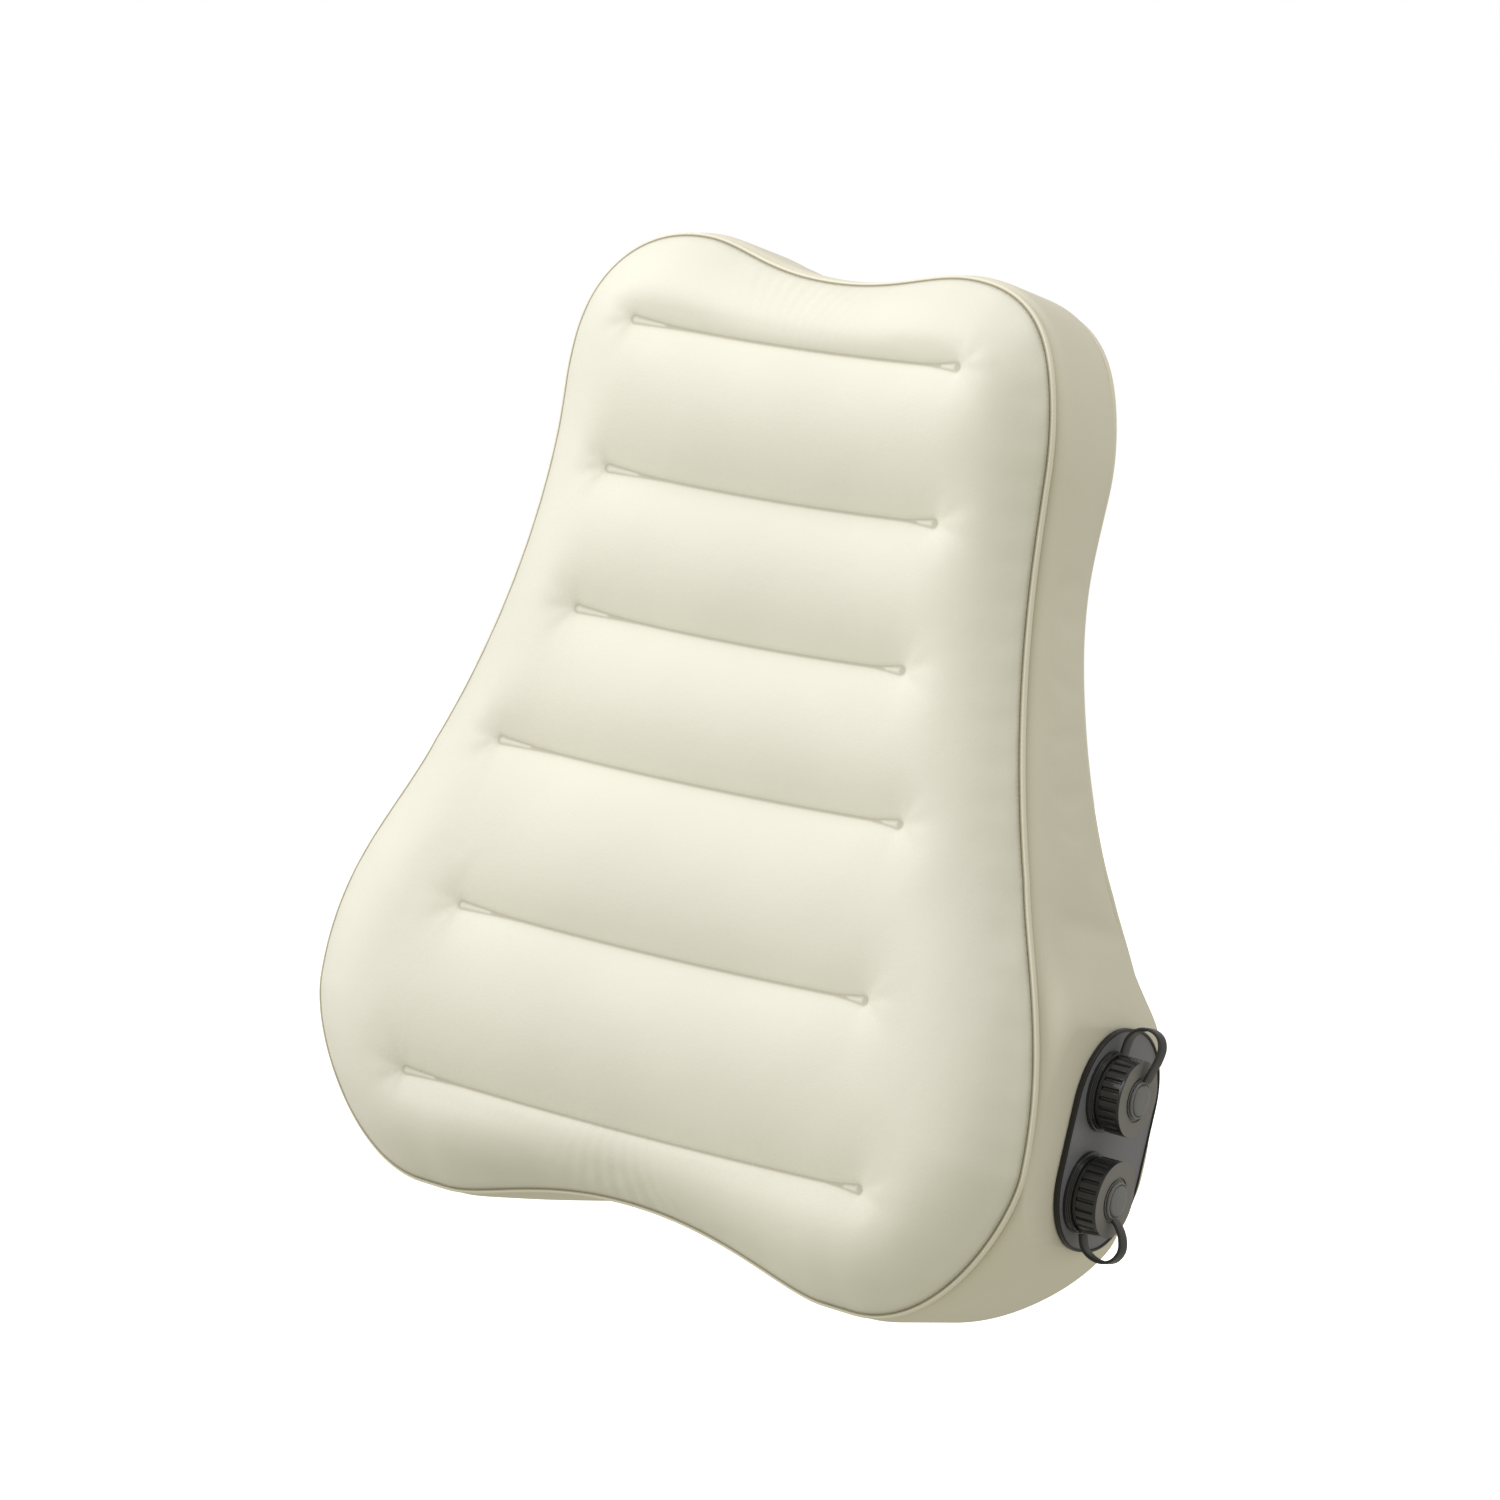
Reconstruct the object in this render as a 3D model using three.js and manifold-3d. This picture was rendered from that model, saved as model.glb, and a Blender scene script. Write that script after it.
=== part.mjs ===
// Inflatable camp pillow: a bell-shaped back cushion that stands on its two lower lobes.
// A crowned front panel, a curved back panel and a side band are welded along two beads into one
// air chamber. Six inner webs hold the two panels together. Two screw valves sit on a plate on
// the right side of the band.
//
// Units are millimetres. +X is the valve side, +Y the back, +Z up. The model is built about the
// front seam's mean plane (y = 0, lowest seam point at z = 0) and the finished group is moved so
// that the origin is the middle of the bottom of its bounding box.
import * as THREE from 'three';
import { mergeVertices } from 'three/addons/utils/BufferGeometryUtils.js';
import Module from 'manifold-3d';

const wasm = await Module();
wasm.setup();

// ---- Driving dimensions: outline -------------------------------------------------------------
const SEAM_HEIGHT = 428; // seams, lowest to highest point
const SEAM_HALF_WIDTH = 181.8; // seams at the lower lobes
const WIDEST_Z = [76, 80]; // height of the seams' widest stretch
const WAIST = [121.9, 352]; // half width and height of the narrowest place
const HIP = [151.4, 190]; // a point half way down the slope from the waist to the lower lobes
const NOTCH_RISE = 17; // bottom edge between the lobes
const DIP_DROP = 11; // top edge between the top lobes
const FOOT_X = [99, 113.5]; // flat of each lower lobe, from the middle plane
const TOP_LOBE_X = 67.5; // crest of each top lobe
const FOOT_BULGE = 3; // the band's foot stands this far below the seams
const TOP_BULGE = 3.9;
const WAIST_BULGE = 5.6;
const BAND_FLAT_X = 184; // flat of the band under the valve plate
const BAND_FLAT_Z = [47, 137];

// Handles of the outline's curves: how far each one runs on before it turns.
const NOTCH_HANDLES = [49, 79];
const LOBE_HANDLES = [153, 53];
const BELLY_LOBE_Z = 40;
const SHOULDER_RUN = 48;
const HIP_HANDLES = [[9.7, -32], [-16.8, 45]];
const WAIST_HANDLES = [-62, 38];
const TOP_HANDLES = [111, 47];
const DIP_HANDLE = 34;

// Front seam ahead of (-) or behind its mean plane, and depth from the front seam to the rear
// seam, both by height.
const FRONT_AT = [[0, 10], [60, 0], [120, -3], [190, 2], [260, 3], [330, 0], [390, -7.5], [428, -4]];
const DEPTH_AT = [
  [0, 79], [45, 101], [100, 108], [155, 97], [205, 73], [258, 57.5], [310, 50.5], [370, 58.5], [428, 59],
];

// ---- Driving dimensions: fabric --------------------------------------------------------------
const WALL = 1;
const GAP = 0.3; // clearance between pieces that touch
const SEAM_BAND = 4; // depth taken up by each seam bead
const BEAD_REACH = 1.9; // bead outside the seam outline
const BEAD_ROOT = 0.9; // bead inside the seam outline
const BEAD_CHAMFER = 0.7;
const FRONT_CROWN = 22;
const BACK_CROWN = 12;
const CROWN_REACH = 45; // distance from the seam at which a panel is fully crowned
const CROWN_RINGS = [0, 3, 8, 16, 28, CROWN_REACH];
const SPINE_Z = [95, 345]; // the panels' facets meet on this stretch of the middle line

// Weld lines, lowest first: height, half length and middle.
const WELDS = [
  [49.5, 119.5, 1], [125.5, 105.5, 0], [199, 104, -4], [261.5, 84.5, 0], [323.5, 84.5, 1], [388, 83, 1],
];
const WELD_SLOPE = 12; // length over which each end of a weld channel runs out
const FRONT_WELD_DEPTH = 11;
const BACK_WELD_DEPTH = 6;
const WELD_HALF_WIDTH = 9;
const WELD_CUT_OVER = 3; // how far a weld's cutter stands out of the panel
const WEB_THICKNESS = 0.6;

// ---- Driving dimensions: valve plate and valves ----------------------------------------------
const PLATE_SIZE = [71, 94.5]; // along Y and Z
const PLATE_CENTRE = [61.5, 92];
const PLATE_CORNER = 32;
const PLATE_THICKNESS = 1.7;
const VALVE_Y = 49.5;
const VALVE_Z = { upper: 112.5, lower: 70 };
const NECK_BORE = 9.8;
const NECK_RADIUS = 11.2;
const NECK_TOP = 11;
const NECK_TAIL = 6; // neck below the plate's outer face
const TAIL_RADIUS = 12;
const FLANGE_RADIUS = 17.25;
const FLANGE_STEP = 1.6; // the wider foot of the flange
const FLANGE_TOP = 3;
const THREAD = { pitch: 3, root: 0.3, base: 0.75, crest: 0.4, height: 1.1 };
const NECK_THREAD = { start: 5.5, turns: 1.5 };
const COLLAR_THREAD = { start: 7, turns: 1.25 };
const RIB_COUNT = 24;
const RIB_HEIGHT = 1.1;
const RIB_SHARES = [0.22, 0.3, 0.92]; // end of the groove, and start and end of the rib's crest
const COLLAR_RADIUS = 16.25;
const COLLAR_FOOT = 5.2;
const COLLAR_FACE = 15;
const COLLAR_RIM = 1.9; // plain rim between the ribs and the face
const COLLAR_BORE = 12.9;
const COLLAR_ROOF = 12.2; // underside of the collar's end wall
const FACE_GROOVE = [8.6, 9.6]; // inner and outer radius of the groove round the button
const FACE_GROOVE_DEPTH = 0.6;
const SEAL_RADII = [9.9, 11.3];
const PORT_RADIUS = 5.2;
const PORT_WALL = 1.4;
const PORT_FOOT = 6.5;
const SEAT = { low: 5.2, high: 6.2, holes: 5, holeRadius: 1.4, holeCircle: 3.6, stemHole: 0.95 };
const SEAT_FACETS = [20, 10]; // round the grating, and round its holes
const BUTTON_RADIUS = 7.5;
const EYE_RADIUS = 15; // outside of the tether ring
const LUG = [2.4, 15.4]; // length and middle of the lug that the strap is moulded to
const STRAP_WIDTH = 6.5;
const STRAP_THICKNESS = 1.3;
const STRAP_STEPS = 26;
const ROUND = 24; // facets round a valve piece
const SCREW_STEPS = 16; // facets in one turn of a screw thread

// Middle line of each tether strap: distance from the valve's axis, height above the plate.
const STRAPS = {
  upper: [
    [8, 17], [12, 18.2], [17.5, 20], [23, 20.5], [27.3, 18.3], [29.1, 13.5], [27.7, 8.4], [23.5, 5], [16.95, 4],
  ],
  lower: [
    [8, 17], [10.5, 19.6], [14.5, 22.1], [19.5, 23], [24, 20.6], [26, 15.8], [25.2, 10.5], [22.2, 6.2],
    [16.95, 4],
  ],
};

// ---- Materials -------------------------------------------------------------------------------
const fabric = (color) => new THREE.MeshStandardMaterial({ color, roughness: 0.6, metalness: 0 });
const rubber = (color) => new THREE.MeshStandardMaterial({ color, roughness: 0.45, metalness: 0 });
const LOOK = {
  panel: () => fabric(0xe3dfce),
  band: () => fabric(0xd2cdb8),
  bead: () => fabric(0xdad5bf),
  web: () => fabric(0xf0ede2),
  plate: () => rubber(0x5a5a5e),
  valve: () => rubber(0x3a3a3c),
  strap: () => rubber(0x2c2c2e),
  flap: () => rubber(0xc9c6bd),
};

// ---- Mesh helpers ----------------------------------------------------------------------------

// A closed body from loose triangles: shared points are merged, triangles that have collapsed on
// the middle line are dropped, and the faces are made to point out.
function closedBody(positions, triangles) {
  const loose = new THREE.BufferGeometry();
  loose.setAttribute('position', new THREE.Float32BufferAttribute(positions, 3));
  loose.setIndex(triangles);
  const merged = mergeVertices(loose, 1e-3);
  const index = merged.index.array;
  const kept = [];
  for (let i = 0; i < index.length; i += 3) {
    const [a, b, c] = [index[i], index[i + 1], index[i + 2]];
    if (a !== b && b !== c && c !== a) kept.push(a, b, c);
  }
  const point = (i) => new THREE.Vector3().fromBufferAttribute(merged.attributes.position, i);
  let volume = 0;
  for (let i = 0; i < kept.length; i += 3) {
    volume += point(kept[i]).dot(point(kept[i + 1]).cross(point(kept[i + 2])));
  }
  if (volume < 0) {
    for (let i = 0; i < kept.length; i += 3) [kept[i], kept[i + 1]] = [kept[i + 1], kept[i]];
  }
  merged.setIndex(kept);
  return merged;
}

// Skins a row of rings that all have the same number of points. With wrap the last ring joins the
// first; with caps the two end rings are filled.
function loft(rings, { wrap = false, caps = false } = {}) {
  const sides = rings[0].length;
  const positions = rings.flat().flatMap((p) => [p.x, p.y, p.z]);
  const triangles = [];
  const spans = wrap ? rings.length : rings.length - 1;
  for (let r = 0; r < spans; r++) {
    const next = (r + 1) % rings.length;
    for (let s = 0; s < sides; s++) {
      const t = (s + 1) % sides;
      const [a, b, c, d] = [r * sides + s, r * sides + t, next * sides + t, next * sides + s];
      triangles.push(a, b, c, a, c, d);
    }
  }
  if (caps) {
    const last = (rings.length - 1) * sides;
    for (let s = 1; s < sides - 1; s++) {
      triangles.push(0, s + 1, s);
      triangles.push(last, last + s, last + s + 1);
    }
  }
  return closedBody(positions, triangles);
}

function solidOf(geometry) {
  const bare = geometry.clone();
  bare.deleteAttribute('normal');
  bare.deleteAttribute('uv');
  const merged = mergeVertices(bare, 1e-4);
  const triVerts = merged.index ? merged.index.array : [...merged.attributes.position.array.keys()];
  const mesh = new wasm.Mesh({
    numProp: 3,
    vertProperties: new Float32Array(merged.attributes.position.array),
    triVerts: new Uint32Array(triVerts),
  });
  return new wasm.Manifold(mesh);
}

function geometryOf(solid) {
  const mesh = solid.getMesh();
  const geometry = new THREE.BufferGeometry();
  geometry.setAttribute('position', new THREE.BufferAttribute(mesh.vertProperties, 3));
  geometry.setIndex(new THREE.BufferAttribute(mesh.triVerts, 1));
  return geometry;
}

// ---- Outline and depth -----------------------------------------------------------------------

// Half outline, from the middle of the bottom up the right side to the middle of the top. The
// seam line has all offsets at zero; the belly line is the same path pushed out to the middle of
// the side band, with a true flat beside the valve plate.
function halfOutline(belly) {
  const foot = belly ? -FOOT_BULGE : 0;
  const top = SEAM_HEIGHT + (belly ? TOP_BULGE : 0);
  const side = belly ? BAND_FLAT_X : SEAM_HALF_WIDTH;
  const [sideLow, sideHigh] = belly ? BAND_FLAT_Z : WIDEST_Z;
  const lobeZ = belly ? BELLY_LOBE_Z : LOBE_HANDLES[1];
  const bulge = belly ? WAIST_BULGE : 0;
  const shoulder = sideHigh + (belly ? 0.2 : 1) * SHOULDER_RUN;
  const point = (x, z) => new THREE.Vector2(x, z);
  const notch = point(0, foot + NOTCH_RISE);
  const [footIn, footOut] = FOOT_X.map((x) => point(x, foot));
  const [low, high] = [point(side, sideLow), point(side, sideHigh)];
  const hip = point(HIP[0] + bulge, HIP[1]);
  const [hipIn, hipOut] = HIP_HANDLES.map(([x, z]) => point(hip.x + x, hip.y + z));
  const waist = point(WAIST[0] + bulge, WAIST[1]);
  const [waistIn, waistOut] = WAIST_HANDLES.map((run) => point(waist.x, waist.y + run));
  const crest = point(TOP_LOBE_X, top);
  const dip = point(0, top - DIP_DROP);
  const bend = (...points) => new THREE.CubicBezierCurve(...points);
  return [
    [bend(notch, point(NOTCH_HANDLES[0], notch.y), point(NOTCH_HANDLES[1], foot), footIn), 5],
    [new THREE.LineCurve(footIn, footOut), 1],
    [bend(footOut, point(LOBE_HANDLES[0], foot), point(side, lobeZ), low), 6],
    [new THREE.LineCurve(low, high), 2],
    [bend(high, point(side, shoulder), hipIn, hip), 4],
    [bend(hip, hipOut, waistIn, waist), 5],
    [bend(waist, waistOut, point(TOP_HANDLES[0], top), crest), 7],
    [bend(crest, point(TOP_HANDLES[1], top), point(DIP_HANDLE, dip.y), dip), 4],
  ];
}

// The whole outline as a ring of points, x and z, mirrored about the middle plane.
function outline(belly) {
  const right = [];
  for (const [curve, steps] of halfOutline(belly)) {
    for (let i = 0; i < steps; i++) right.push(curve.getPoint(i / steps));
  }
  const topMiddle = halfOutline(belly).at(-1)[0].getPoint(1);
  const left = right.slice(1).reverse().map((p) => new THREE.Vector2(-p.x, p.y));
  return [...right, topMiddle, ...left];
}

// Unit vectors pointing out of a ring of points.
function outwardNormals(ring) {
  return ring.map((_, i) => {
    const before = ring.at(i - 1);
    const after = ring[(i + 1) % ring.length];
    const along = after.clone().sub(before).normalize();
    return new THREE.Vector2(along.y, -along.x);
  });
}

// A smooth curve through pairs of height and y, as a function of the height.
function byHeight(pairs) {
  const samples = new THREE.SplineCurve(pairs.map((pair) => new THREE.Vector2(...pair))).getPoints(200);
  return (z) => {
    const clamped = THREE.MathUtils.clamp(z, 0, SEAM_HEIGHT);
    const upper = Math.max(1, samples.findIndex((p) => p.x >= clamped));
    const [a, b] = [samples[upper - 1], samples[upper]];
    return THREE.MathUtils.mapLinear(clamped, a.x, b.x, a.y, b.y);
  };
}

const frontAt = byHeight(FRONT_AT);
const depthAt = byHeight(DEPTH_AT);
const backAt = (z) => frontAt(z) + depthAt(z);
const SEAM = outline(false);
const BELLY = outline(true);
const SEAM_OUT = outwardNormals(SEAM);

// ---- Panels ----------------------------------------------------------------------------------

// How far a panel stands out of its seam surface at a distance from the seam.
function crownAt(distance, height) {
  return height * (1 - (1 - Math.min(distance / CROWN_REACH, 1)) ** 2.5);
}

// The full body under a crowned panel. side is -1 for the front panel and +1 for the back one,
// inset pulls the whole surface in, and tail carries the body past the seam surface.
function crownBody({ side, height, surface, inset, tail }) {
  const spine = SEAM.map((p) => new THREE.Vector2(0, THREE.MathUtils.clamp(p.y, ...SPINE_Z)));
  const at = (i, distance, out) => {
    const reach = SEAM[i].distanceTo(spine[i]);
    const p = SEAM[i].clone().lerp(spine[i], Math.min((distance + inset) / reach, 1));
    return new THREE.Vector3(p.x, surface(p.y) + side * out, p.y);
  };
  const ring = (distance, out) => SEAM.map((_, i) => at(i, distance, out));
  const middle = Infinity;
  return loft([
    ring(middle, -tail),
    ring(0, -tail),
    ...CROWN_RINGS.map((d) => ring(d, crownAt(d + inset, height) - inset)),
    ring(middle, height - inset),
  ]);
}

// The cutter for one weld channel: a roof-shaped wedge that is deepest along the weld.
function weldCutter({ side, weld, surface, height, depth, inset }) {
  const [z, halfLength, middle] = weld;
  const surfaceY = surface(z);
  const over = WELD_CUT_OVER;
  const ridgeY = surfaceY + side * (height - depth - inset);
  const openY = surfaceY + side * (height + over);
  const spread = ((depth + over) / depth) * WELD_HALF_WIDTH + inset;
  const long = halfLength + (WELD_SLOPE * over) / depth + inset;
  const ridge = halfLength - WELD_SLOPE + inset;
  const corner = (x, dz) => new THREE.Vector3(middle + x, openY, z + dz);
  const left = new THREE.Vector3(middle - ridge, ridgeY, z);
  const right = new THREE.Vector3(middle + ridge, ridgeY, z);
  return loft([
    [corner(-long, -spread), left, corner(-long, spread)],
    [corner(long, -spread), right, corner(long, spread)],
  ], { caps: true });
}

function panel({ side, height, surface, weldDepth }) {
  const body = (inset, tail) => {
    let solid = solidOf(crownBody({ side, height, surface, inset, tail }));
    for (const weld of WELDS) {
      const cutter = weldCutter({ side, weld, surface, height, depth: weldDepth, inset });
      solid = solid.subtract(solidOf(cutter));
    }
    return solid;
  };
  const inner = body(WALL, SEAM_BAND);
  return geometryOf(body(0, 0).subtract(inner));
}

const frontPanel = () => panel({
  side: -1, height: FRONT_CROWN, surface: frontAt, weldDepth: FRONT_WELD_DEPTH,
});

const backPanel = () => panel({
  side: 1, height: BACK_CROWN, surface: backAt, weldDepth: BACK_WELD_DEPTH,
});

// An inner web between the two panels, welded along one line of each.
function web([z, halfLength, middle]) {
  const clear = WALL + GAP;
  const front = frontAt(z) - (FRONT_CROWN - FRONT_WELD_DEPTH) + clear;
  const back = backAt(z) + BACK_CROWN - BACK_WELD_DEPTH - clear;
  const sheet = new THREE.BoxGeometry(2 * (halfLength - WELD_SLOPE), back - front, WEB_THICKNESS);
  return sheet.translate(middle, (front + back) / 2, z);
}

// ---- Side band and seam beads ----------------------------------------------------------------

// Stations across the band: share of its depth, and share of the way from seam to belly line.
const BAND_STATIONS = [[0, 0], [0.05, 0.62], [0.17, 1], [0.86, 1], [0.95, 0.62], [1, 0]];

function sideBand() {
  const skin = (wall) => BAND_STATIONS.map(([across, bulge]) => SEAM.map((seam, i) => {
    const p = seam.clone().lerp(BELLY[i], bulge).addScaledVector(SEAM_OUT[i], -wall);
    const near = frontAt(seam.y) + SEAM_BAND;
    const far = backAt(seam.y) - SEAM_BAND;
    return new THREE.Vector3(p.x, THREE.MathUtils.lerp(near, far, across), p.y);
  }));
  let solid = solidOf(loft([...skin(0), ...skin(WALL).reverse()], { wrap: true }));
  for (const z of Object.values(VALVE_Z)) {
    const radius = TAIL_RADIUS + 2 * GAP;
    const hole = new THREE.CylinderGeometry(radius, radius, 20 * WALL, ROUND);
    hole.rotateZ(-Math.PI / 2).translate(BAND_FLAT_X, VALVE_Y, z);
    solid = solid.subtract(solidOf(hole));
  }
  return geometryOf(solid);
}

// The welded bead along a seam. start gives the bead's front edge at a height.
function seamBead(start) {
  const width = SEAM_BAND - 2 * GAP;
  const shoulder = BEAD_REACH - BEAD_CHAMFER;
  const section = [
    [-BEAD_ROOT, 0], [shoulder, 0], [BEAD_REACH, 0.3 * width],
    [BEAD_REACH, 0.7 * width], [shoulder, width], [-BEAD_ROOT, width],
  ];
  const rings = SEAM.map((seam, i) => section.map(([out, along]) => {
    const p = seam.clone().addScaledVector(SEAM_OUT[i], out);
    return new THREE.Vector3(p.x, start(seam.y) + GAP + along, p.y);
  }));
  return loft(rings, { wrap: true });
}

// ---- Valve plate -----------------------------------------------------------------------------

function valvePlate() {
  const [halfY, halfZ] = PLATE_SIZE.map((size) => size / 2);
  const r = PLATE_CORNER;
  const shape = new THREE.Shape();
  shape.absarc(halfY - r, halfZ - r, r, 0, Math.PI / 2);
  shape.absarc(r - halfY, halfZ - r, r, Math.PI / 2, Math.PI);
  shape.absarc(r - halfY, r - halfZ, r, Math.PI, 1.5 * Math.PI);
  shape.absarc(halfY - r, r - halfZ, r, 1.5 * Math.PI, 2 * Math.PI);
  for (const z of Object.values(VALVE_Z)) {
    const hole = new THREE.Path();
    hole.absarc(VALVE_Y - PLATE_CENTRE[0], z - PLATE_CENTRE[1], TAIL_RADIUS + GAP, 0, 2 * Math.PI, true);
    shape.holes.push(hole);
  }
  const plate = new THREE.ExtrudeGeometry(shape, {
    depth: PLATE_THICKNESS, bevelEnabled: false, curveSegments: 7,
  });
  // The shape's own axes become Y and Z, and its depth becomes X.
  plate.applyMatrix4(new THREE.Matrix4().makeBasis(
    new THREE.Vector3(0, 1, 0), new THREE.Vector3(0, 0, 1), new THREE.Vector3(1, 0, 0),
  ));
  return plate.translate(BAND_FLAT_X + GAP, ...PLATE_CENTRE);
}

// ---- Valve pieces ----------------------------------------------------------------------------
// Each is made about its own Y axis, with y = 0 on the plate's outer face, and turned into place
// by the valve's group. The tether lies towards +X.

const lathe = (profile, segments = ROUND) => new THREE.LatheGeometry(
  profile.map(([r, y]) => new THREE.Vector2(r, y)), segments,
);

// A plain turned ring between two radii and two heights.
function ring(inner, outer, low, high) {
  return lathe([[inner, low], [outer, low], [outer, high], [inner, high], [inner, low]]);
}

function disc(radius, low, high, segments = ROUND) {
  return new THREE.CylinderGeometry(radius, radius, high - low, segments).translate(0, (low + high) / 2, 0);
}

// A right-hand screw ridge. reach is its crest's radius, wall the radius that it stands on.
function screwRidge({ wall, reach, start, turns }) {
  const steps = Math.round(turns * SCREW_STEPS);
  const root = wall + (wall < reach ? -THREAD.root : THREAD.root);
  const rings = [];
  for (let i = 0; i <= steps; i++) {
    const angle = (i / steps) * turns * 2 * Math.PI;
    const y = start + (THREAD.pitch * angle) / (2 * Math.PI);
    const place = (r, dy) => new THREE.Vector3(r * Math.sin(angle), y + dy, r * Math.cos(angle));
    rings.push([
      place(root, -THREAD.base), place(reach, -THREAD.crest),
      place(reach, THREAD.crest), place(root, THREAD.base),
    ]);
  }
  return loft(rings, { caps: true });
}

function valveBase() {
  const body = solidOf(lathe([
    [NECK_BORE, -NECK_TAIL], [TAIL_RADIUS, -NECK_TAIL], [TAIL_RADIUS, GAP], [FLANGE_RADIUS, GAP],
    [FLANGE_RADIUS, FLANGE_STEP], [FLANGE_RADIUS - 1, FLANGE_STEP + GAP], [FLANGE_RADIUS - 1, FLANGE_TOP],
    [NECK_RADIUS, FLANGE_TOP], [NECK_RADIUS, NECK_TOP], [NECK_BORE, NECK_TOP], [NECK_BORE, -NECK_TAIL],
  ]));
  const ridge = screwRidge({ wall: NECK_RADIUS, reach: NECK_RADIUS + THREAD.height, ...NECK_THREAD });
  return geometryOf(body.add(solidOf(ridge)));
}

function tetherRing() {
  const low = FLANGE_TOP + GAP;
  const high = COLLAR_FOOT - 0.5;
  const eye = solidOf(ring(COLLAR_BORE, EYE_RADIUS, low, high));
  const lug = new THREE.BoxGeometry(LUG[0], high - low, STRAP_WIDTH);
  return geometryOf(eye.add(solidOf(lug.translate(LUG[1], (low + high) / 2, 0))));
}

// The flat strap from the plug's button round to the tether ring.
function tetherStrap(points) {
  const path = new THREE.CatmullRomCurve3(points.map(([r, y]) => new THREE.Vector3(r, y, 0)));
  const rings = [];
  for (let i = 0; i <= STRAP_STEPS; i++) {
    const p = path.getPoint(i / STRAP_STEPS);
    const along = path.getTangent(i / STRAP_STEPS);
    const across = new THREE.Vector3(along.y, -along.x, 0).multiplyScalar(STRAP_THICKNESS / 2);
    const corner = (side, z) => p.clone().addScaledVector(across, side).setZ((z * STRAP_WIDTH) / 2);
    rings.push([corner(1, -1), corner(1, 1), corner(-1, 1), corner(-1, -1)]);
  }
  return loft(rings, { caps: true });
}

// The screw collar: a ribbed skirt with an inner thread, a plain end disc and the port tube.
function ribbedCollar() {
  const ribs = new THREE.Shape();
  const valley = COLLAR_RADIUS - RIB_HEIGHT;
  const [grooveEnd, crestStart, crestEnd] = RIB_SHARES;
  const profile = [[0, valley], [grooveEnd, valley], [crestStart, COLLAR_RADIUS], [crestEnd, COLLAR_RADIUS]];
  for (let rib = 0; rib < RIB_COUNT; rib++) {
    for (const [share, r] of profile) {
      const angle = ((rib + share) / RIB_COUNT) * 2 * Math.PI;
      const corner = [r * Math.cos(angle), r * Math.sin(angle)];
      if (rib === 0 && share === 0) ribs.moveTo(...corner);
      else ribs.lineTo(...corner);
    }
  }
  const rimFoot = COLLAR_FACE - COLLAR_RIM;
  const skirt = new THREE.ExtrudeGeometry(ribs, { depth: rimFoot - COLLAR_FOOT, bevelEnabled: false });
  skirt.rotateX(-Math.PI / 2).translate(0, COLLAR_FOOT, 0);
  const lap = 0.1;
  const bevel = 0.6;
  const [grooveIn, grooveOut] = FACE_GROOVE;
  const grooveFloor = COLLAR_FACE - FACE_GROOVE_DEPTH;
  const cap = lathe([
    [0, rimFoot - lap], [COLLAR_RADIUS, rimFoot - lap], [COLLAR_RADIUS, COLLAR_FACE - bevel],
    [COLLAR_RADIUS - bevel, COLLAR_FACE], [grooveOut, COLLAR_FACE], [grooveOut, grooveFloor],
    [grooveIn, grooveFloor], [grooveIn, COLLAR_FACE], [0, COLLAR_FACE],
  ]);
  const ridge = screwRidge({ wall: COLLAR_BORE, reach: COLLAR_BORE - 1.3, ...COLLAR_THREAD });
  return geometryOf(
    solidOf(skirt)
      .add(solidOf(cap))
      .subtract(solidOf(disc(COLLAR_BORE, COLLAR_FOOT - 1, COLLAR_ROOF)))
      .add(solidOf(disc(PORT_RADIUS + PORT_WALL, PORT_FOOT, COLLAR_ROOF + lap)))
      .add(solidOf(ridge))
      .subtract(solidOf(disc(PORT_RADIUS, PORT_FOOT - 1, COLLAR_FACE + 1))),
  );
}

const collarSeal = () => ring(...SEAL_RADII, NECK_TOP + GAP, COLLAR_ROOF - GAP);

// The grating at the foot of the port tube: air holes round a hole for the flap's stem.
function flapSeat() {
  const [seatFacets, holeFacets] = SEAT_FACETS;
  const drill = (radius) => disc(radius, SEAT.low - 1, SEAT.high + 1, holeFacets);
  let seat = solidOf(disc(PORT_RADIUS + PORT_WALL, SEAT.low, SEAT.high, seatFacets));
  for (let i = 0; i < SEAT.holes; i++) {
    const angle = (i / SEAT.holes) * 2 * Math.PI;
    const hole = drill(SEAT.holeRadius);
    hole.translate(SEAT.holeCircle * Math.cos(angle), 0, SEAT.holeCircle * Math.sin(angle));
    seat = seat.subtract(solidOf(hole));
  }
  return geometryOf(seat.subtract(solidOf(drill(SEAT.stemHole))));
}

// The soft one-way flap, held by a stem with a small bulb above the grating.
const checkFlap = () => lathe([
  [0, 4.1], [6.2, 4.3], [6.2, 4.9], [0.6, 4.9], [0.6, 7.5], [1.3, 7.7], [1.1, 8.3], [0, 8.5],
], SEAT_FACETS[0]);

// The push-in plug: a round button over a stem that closes the port.
function portPlug() {
  const stem = PORT_RADIUS - GAP;
  const button = [
    [-0.3, GAP], [0, 0.9], [0, 1.9], [-0.8, 2.6], [-1.8, 2.6], [-2.4, 2.2],
  ].map(([out, up]) => [BUTTON_RADIUS + out, COLLAR_FACE + up]);
  return lathe([
    [0, 9.3], [stem - 0.6, 9.3], [stem, 10.2], [stem, COLLAR_FACE + GAP], ...button, [0, button.at(-1)[1]],
  ]);
}

// ---- Assembly --------------------------------------------------------------------------------

function piece(name, geometry, material) {
  const mesh = new THREE.Mesh(geometry, material);
  mesh.name = name;
  return mesh;
}

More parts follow.
